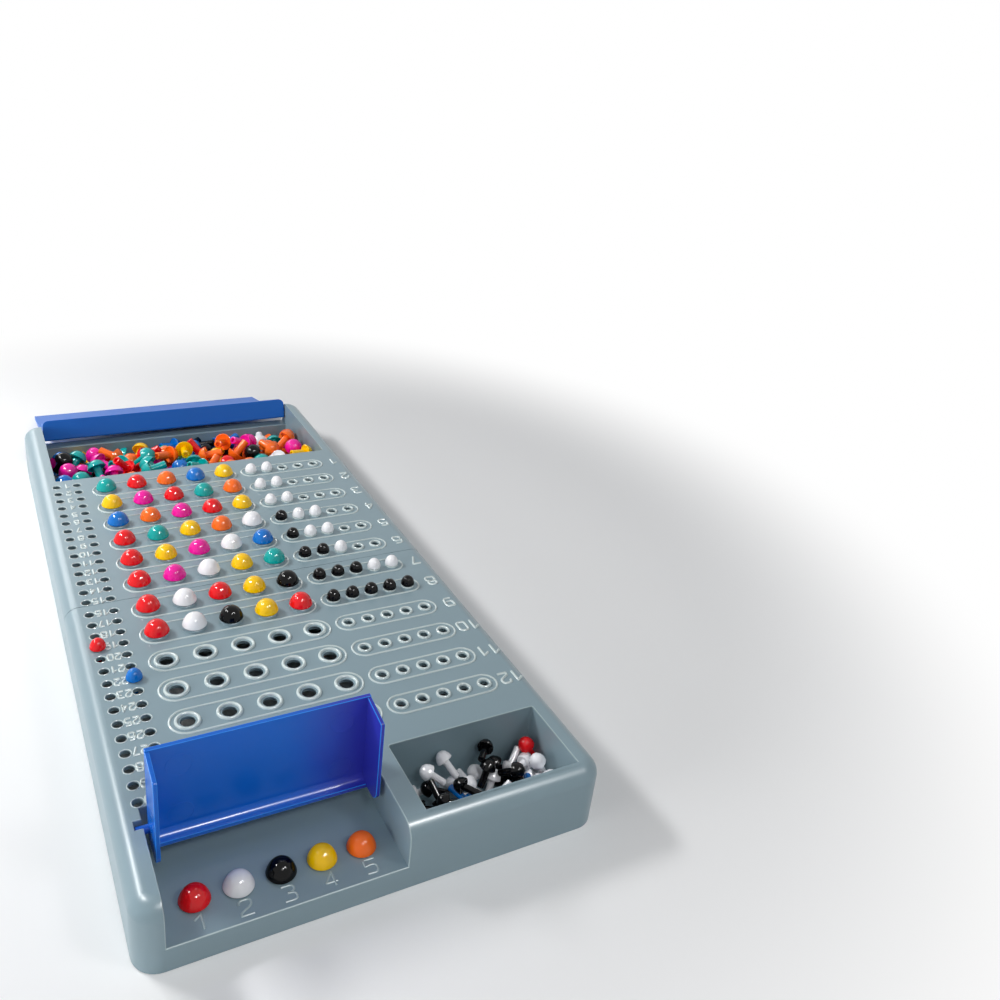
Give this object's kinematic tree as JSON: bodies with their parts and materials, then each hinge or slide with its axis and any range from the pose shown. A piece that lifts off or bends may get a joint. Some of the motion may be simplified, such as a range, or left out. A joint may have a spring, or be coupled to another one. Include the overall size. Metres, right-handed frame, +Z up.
{
  "type": "code breaking peg game",
  "caption": "Two-part peg board with a code trough and folding shield, a hinged lid over the peg compartment, a key tray and coloured domed pegs.",
  "frame": {"origin": "bottom centre of the whole game's bounding box with the lid open, on the surface the board rests on", "axes": "+Y from the code trough towards the lid, +X to the code maker's right, +Z up"},
  "size_m": [0.1624, 0.42, 0.0538],
  "materials": {
    "board": "satin injection-moulded plastic",
    "blue_plastic": "satin injection-moulded plastic",
    "teal": "glossy injection-moulded plastic",
    "red": "glossy injection-moulded plastic",
    "orange": "glossy injection-moulded plastic",
    "blue": "glossy injection-moulded plastic",
    "yellow": "glossy injection-moulded plastic",
    "magenta": "glossy injection-moulded plastic",
    "white": "glossy injection-moulded plastic",
    "black": "glossy injection-moulded plastic"
  },
  "bodies": {
    "rear_half": {"rear_half": "board"},
    "front_half": {"front_half": "board"},
    "peg_compartment_lid": {"peg_compartment_lid": "blue_plastic"},
    "code_shield": {"code_shield": "blue_plastic"},
    "loose_guess_pegs": {"loose_guess_pegs": "teal"},
    "loose_key_pegs": {"loose_key_pegs": "white"},
    "guess_peg_r1_c1": {"guess_peg_r1_c1": "teal"},
    "guess_peg_r1_c2": {"guess_peg_r1_c2": "red"},
    "guess_peg_r1_c3": {"guess_peg_r1_c3": "orange"},
    "guess_peg_r1_c4": {"guess_peg_r1_c4": "blue"},
    "guess_peg_r1_c5": {"guess_peg_r1_c5": "yellow"},
    "guess_peg_r2_c1": {"guess_peg_r2_c1": "yellow"},
    "guess_peg_r2_c2": {"guess_peg_r2_c2": "magenta"},
    "guess_peg_r2_c3": {"guess_peg_r2_c3": "red"},
    "guess_peg_r2_c4": {"guess_peg_r2_c4": "teal"},
    "guess_peg_r2_c5": {"guess_peg_r2_c5": "orange"},
    "guess_peg_r3_c1": {"guess_peg_r3_c1": "blue"},
    "guess_peg_r3_c2": {"guess_peg_r3_c2": "orange"},
    "guess_peg_r3_c3": {"guess_peg_r3_c3": "magenta"},
    "guess_peg_r3_c4": {"guess_peg_r3_c4": "red"},
    "guess_peg_r3_c5": {"guess_peg_r3_c5": "yellow"},
    "guess_peg_r4_c1": {"guess_peg_r4_c1": "red"},
    "guess_peg_r4_c2": {"guess_peg_r4_c2": "teal"},
    "guess_peg_r4_c3": {"guess_peg_r4_c3": "yellow"},
    "guess_peg_r4_c4": {"guess_peg_r4_c4": "orange"},
    "guess_peg_r4_c5": {"guess_peg_r4_c5": "white"},
    "guess_peg_r5_c1": {"guess_peg_r5_c1": "red"},
    "guess_peg_r5_c2": {"guess_peg_r5_c2": "yellow"},
    "guess_peg_r5_c3": {"guess_peg_r5_c3": "magenta"},
    "guess_peg_r5_c4": {"guess_peg_r5_c4": "white"},
    "guess_peg_r5_c5": {"guess_peg_r5_c5": "blue"},
    "guess_peg_r6_c1": {"guess_peg_r6_c1": "red"},
    "guess_peg_r6_c2": {"guess_peg_r6_c2": "magenta"},
    "guess_peg_r6_c3": {"guess_peg_r6_c3": "white"},
    "guess_peg_r6_c4": {"guess_peg_r6_c4": "yellow"},
    "guess_peg_r6_c5": {"guess_peg_r6_c5": "teal"},
    "guess_peg_r7_c1": {"guess_peg_r7_c1": "red"},
    "guess_peg_r7_c2": {"guess_peg_r7_c2": "white"},
    "guess_peg_r7_c3": {"guess_peg_r7_c3": "red"},
    "guess_peg_r7_c4": {"guess_peg_r7_c4": "yellow"},
    "guess_peg_r7_c5": {"guess_peg_r7_c5": "black"},
    "guess_peg_r8_c1": {"guess_peg_r8_c1": "red"},
    "guess_peg_r8_c2": {"guess_peg_r8_c2": "white"},
    "guess_peg_r8_c3": {"guess_peg_r8_c3": "black"},
    "guess_peg_r8_c4": {"guess_peg_r8_c4": "yellow"},
    "guess_peg_r8_c5": {"guess_peg_r8_c5": "red"},
    "code_peg_1": {"code_peg_1": "red"},
    "code_peg_2": {"code_peg_2": "white"},
    "code_peg_3": {"code_peg_3": "black"},
    "code_peg_4": {"code_peg_4": "yellow"},
    "code_peg_5": {"code_peg_5": "orange"},
    "key_peg_r1_1": {"key_peg_r1_1": "white"},
    "key_peg_r1_2": {"key_peg_r1_2": "white"},
    "key_peg_r8_1": {"key_peg_r8_1": "black"},
    "key_peg_r8_2": {"key_peg_r8_2": "black"},
    "key_peg_r8_3": {"key_peg_r8_3": "black"},
    "key_peg_r8_4": {"key_peg_r8_4": "black"},
    "key_peg_r8_5": {"key_peg_r8_5": "black"},
    "score_peg_left": {"score_peg_left": "red"},
    "score_peg_right": {"score_peg_right": "blue"}
  },
  "joints": [
    {"name": "lid_hinge", "type": "hinge", "parent": "rear_half", "child": "peg_compartment_lid", "pos_m": [0, 0.13922, 0.0212], "axis": [-1, 0, 0], "range_deg": [-192.8, 0]},
    {"name": "shield_hinge", "type": "hinge", "parent": "front_half", "child": "code_shield", "pos_m": [0, -0.17678, 0.0232], "axis": [-1, 0, 0], "range_deg": [-90, 0]},
    {"name": "halves_part", "type": "slide", "parent": "rear_half", "child": "front_half", "axis": [0, -1, 0], "range_m": [0, 0.05]},
    {"name": "loose_guess_pegs_lift", "type": "slide", "parent": "rear_half", "child": "loose_guess_pegs", "axis": [0, 0, 1], "range_m": [0, 0.03]},
    {"name": "loose_key_pegs_lift", "type": "slide", "parent": "front_half", "child": "loose_key_pegs", "axis": [0, 0, 1], "range_m": [0, 0.03]},
    {"name": "guess_peg_r1_c1_lift", "type": "slide", "parent": "rear_half", "child": "guess_peg_r1_c1", "axis": [0, 0, 1], "range_m": [0, 0.012]},
    {"name": "guess_peg_r1_c2_lift", "type": "slide", "parent": "rear_half", "child": "guess_peg_r1_c2", "axis": [0, 0, 1], "range_m": [0, 0.012]},
    {"name": "guess_peg_r1_c3_lift", "type": "slide", "parent": "rear_half", "child": "guess_peg_r1_c3", "axis": [0, 0, 1], "range_m": [0, 0.012]},
    {"name": "guess_peg_r1_c4_lift", "type": "slide", "parent": "rear_half", "child": "guess_peg_r1_c4", "axis": [0, 0, 1], "range_m": [0, 0.012]},
    {"name": "guess_peg_r1_c5_lift", "type": "slide", "parent": "rear_half", "child": "guess_peg_r1_c5", "axis": [0, 0, 1], "range_m": [0, 0.012]},
    {"name": "guess_peg_r2_c1_lift", "type": "slide", "parent": "rear_half", "child": "guess_peg_r2_c1", "axis": [0, 0, 1], "range_m": [0, 0.012]},
    {"name": "guess_peg_r2_c2_lift", "type": "slide", "parent": "rear_half", "child": "guess_peg_r2_c2", "axis": [0, 0, 1], "range_m": [0, 0.012]},
    {"name": "guess_peg_r2_c3_lift", "type": "slide", "parent": "rear_half", "child": "guess_peg_r2_c3", "axis": [0, 0, 1], "range_m": [0, 0.012]},
    {"name": "guess_peg_r2_c4_lift", "type": "slide", "parent": "rear_half", "child": "guess_peg_r2_c4", "axis": [0, 0, 1], "range_m": [0, 0.012]},
    {"name": "guess_peg_r2_c5_lift", "type": "slide", "parent": "rear_half", "child": "guess_peg_r2_c5", "axis": [0, 0, 1], "range_m": [0, 0.012]},
    {"name": "guess_peg_r3_c1_lift", "type": "slide", "parent": "rear_half", "child": "guess_peg_r3_c1", "axis": [0, 0, 1], "range_m": [0, 0.012]},
    {"name": "guess_peg_r3_c2_lift", "type": "slide", "parent": "rear_half", "child": "guess_peg_r3_c2", "axis": [0, 0, 1], "range_m": [0, 0.012]},
    {"name": "guess_peg_r3_c3_lift", "type": "slide", "parent": "rear_half", "child": "guess_peg_r3_c3", "axis": [0, 0, 1], "range_m": [0, 0.012]},
    {"name": "guess_peg_r3_c4_lift", "type": "slide", "parent": "rear_half", "child": "guess_peg_r3_c4", "axis": [0, 0, 1], "range_m": [0, 0.012]},
    {"name": "guess_peg_r3_c5_lift", "type": "slide", "parent": "rear_half", "child": "guess_peg_r3_c5", "axis": [0, 0, 1], "range_m": [0, 0.012]},
    {"name": "guess_peg_r4_c1_lift", "type": "slide", "parent": "rear_half", "child": "guess_peg_r4_c1", "axis": [0, 0, 1], "range_m": [0, 0.012]},
    {"name": "guess_peg_r4_c2_lift", "type": "slide", "parent": "rear_half", "child": "guess_peg_r4_c2", "axis": [0, 0, 1], "range_m": [0, 0.012]},
    {"name": "guess_peg_r4_c3_lift", "type": "slide", "parent": "rear_half", "child": "guess_peg_r4_c3", "axis": [0, 0, 1], "range_m": [0, 0.012]},
    {"name": "guess_peg_r4_c4_lift", "type": "slide", "parent": "rear_half", "child": "guess_peg_r4_c4", "axis": [0, 0, 1], "range_m": [0, 0.012]},
    {"name": "guess_peg_r4_c5_lift", "type": "slide", "parent": "rear_half", "child": "guess_peg_r4_c5", "axis": [0, 0, 1], "range_m": [0, 0.012]},
    {"name": "guess_peg_r5_c1_lift", "type": "slide", "parent": "rear_half", "child": "guess_peg_r5_c1", "axis": [0, 0, 1], "range_m": [0, 0.012]},
    {"name": "guess_peg_r5_c2_lift", "type": "slide", "parent": "rear_half", "child": "guess_peg_r5_c2", "axis": [0, 0, 1], "range_m": [0, 0.012]},
    {"name": "guess_peg_r5_c3_lift", "type": "slide", "parent": "rear_half", "child": "guess_peg_r5_c3", "axis": [0, 0, 1], "range_m": [0, 0.012]},
    {"name": "guess_peg_r5_c4_lift", "type": "slide", "parent": "rear_half", "child": "guess_peg_r5_c4", "axis": [0, 0, 1], "range_m": [0, 0.012]},
    {"name": "guess_peg_r5_c5_lift", "type": "slide", "parent": "rear_half", "child": "guess_peg_r5_c5", "axis": [0, 0, 1], "range_m": [0, 0.012]},
    {"name": "guess_peg_r6_c1_lift", "type": "slide", "parent": "rear_half", "child": "guess_peg_r6_c1", "axis": [0, 0, 1], "range_m": [0, 0.012]},
    {"name": "guess_peg_r6_c2_lift", "type": "slide", "parent": "rear_half", "child": "guess_peg_r6_c2", "axis": [0, 0, 1], "range_m": [0, 0.012]},
    {"name": "guess_peg_r6_c3_lift", "type": "slide", "parent": "rear_half", "child": "guess_peg_r6_c3", "axis": [0, 0, 1], "range_m": [0, 0.012]},
    {"name": "guess_peg_r6_c4_lift", "type": "slide", "parent": "rear_half", "child": "guess_peg_r6_c4", "axis": [0, 0, 1], "range_m": [0, 0.012]},
    {"name": "guess_peg_r6_c5_lift", "type": "slide", "parent": "rear_half", "child": "guess_peg_r6_c5", "axis": [0, 0, 1], "range_m": [0, 0.012]},
    {"name": "guess_peg_r7_c1_lift", "type": "slide", "parent": "front_half", "child": "guess_peg_r7_c1", "axis": [0, 0, 1], "range_m": [0, 0.012]},
    {"name": "guess_peg_r7_c2_lift", "type": "slide", "parent": "front_half", "child": "guess_peg_r7_c2", "axis": [0, 0, 1], "range_m": [0, 0.012]},
    {"name": "guess_peg_r7_c3_lift", "type": "slide", "parent": "front_half", "child": "guess_peg_r7_c3", "axis": [0, 0, 1], "range_m": [0, 0.012]},
    {"name": "guess_peg_r7_c4_lift", "type": "slide", "parent": "front_half", "child": "guess_peg_r7_c4", "axis": [0, 0, 1], "range_m": [0, 0.012]},
    {"name": "guess_peg_r7_c5_lift", "type": "slide", "parent": "front_half", "child": "guess_peg_r7_c5", "axis": [0, 0, 1], "range_m": [0, 0.012]},
    {"name": "guess_peg_r8_c1_lift", "type": "slide", "parent": "front_half", "child": "guess_peg_r8_c1", "axis": [0, 0, 1], "range_m": [0, 0.012]},
    {"name": "guess_peg_r8_c2_lift", "type": "slide", "parent": "front_half", "child": "guess_peg_r8_c2", "axis": [0, 0, 1], "range_m": [0, 0.012]},
    {"name": "guess_peg_r8_c3_lift", "type": "slide", "parent": "front_half", "child": "guess_peg_r8_c3", "axis": [0, 0, 1], "range_m": [0, 0.012]},
    {"name": "guess_peg_r8_c4_lift", "type": "slide", "parent": "front_half", "child": "guess_peg_r8_c4", "axis": [0, 0, 1], "range_m": [0, 0.012]},
    {"name": "guess_peg_r8_c5_lift", "type": "slide", "parent": "front_half", "child": "guess_peg_r8_c5", "axis": [0, 0, 1], "range_m": [0, 0.012]},
    {"name": "code_peg_1_lift", "type": "slide", "parent": "front_half", "child": "code_peg_1", "axis": [0, 0, 1], "range_m": [0, 0.012]},
    {"name": "code_peg_2_lift", "type": "slide", "parent": "front_half", "child": "code_peg_2", "axis": [0, 0, 1], "range_m": [0, 0.012]},
    {"name": "code_peg_3_lift", "type": "slide", "parent": "front_half", "child": "code_peg_3", "axis": [0, 0, 1], "range_m": [0, 0.012]},
    {"name": "code_peg_4_lift", "type": "slide", "parent": "front_half", "child": "code_peg_4", "axis": [0, 0, 1], "range_m": [0, 0.012]},
    {"name": "code_peg_5_lift", "type": "slide", "parent": "front_half", "child": "code_peg_5", "axis": [0, 0, 1], "range_m": [0, 0.012]},
    {"name": "key_peg_r1_1_lift", "type": "slide", "parent": "rear_half", "child": "key_peg_r1_1", "axis": [0, 0, 1], "range_m": [0, 0.01]},
    {"name": "key_peg_r1_2_lift", "type": "slide", "parent": "rear_half", "child": "key_peg_r1_2", "axis": [0, 0, 1], "range_m": [0, 0.01]},
    {"name": "key_peg_r8_1_lift", "type": "slide", "parent": "front_half", "child": "key_peg_r8_1", "axis": [0, 0, 1], "range_m": [0, 0.01]},
    {"name": "key_peg_r8_2_lift", "type": "slide", "parent": "front_half", "child": "key_peg_r8_2", "axis": [0, 0, 1], "range_m": [0, 0.01]},
    {"name": "key_peg_r8_3_lift", "type": "slide", "parent": "front_half", "child": "key_peg_r8_3", "axis": [0, 0, 1], "range_m": [0, 0.01]},
    {"name": "key_peg_r8_4_lift", "type": "slide", "parent": "front_half", "child": "key_peg_r8_4", "axis": [0, 0, 1], "range_m": [0, 0.01]},
    {"name": "key_peg_r8_5_lift", "type": "slide", "parent": "front_half", "child": "key_peg_r8_5", "axis": [0, 0, 1], "range_m": [0, 0.01]},
    {"name": "score_peg_left_lift", "type": "slide", "parent": "front_half", "child": "score_peg_left", "axis": [0, 0, 1], "range_m": [0, 0.01]},
    {"name": "score_peg_right_lift", "type": "slide", "parent": "front_half", "child": "score_peg_right", "axis": [0, 0, 1], "range_m": [0, 0.01]}
  ]
}
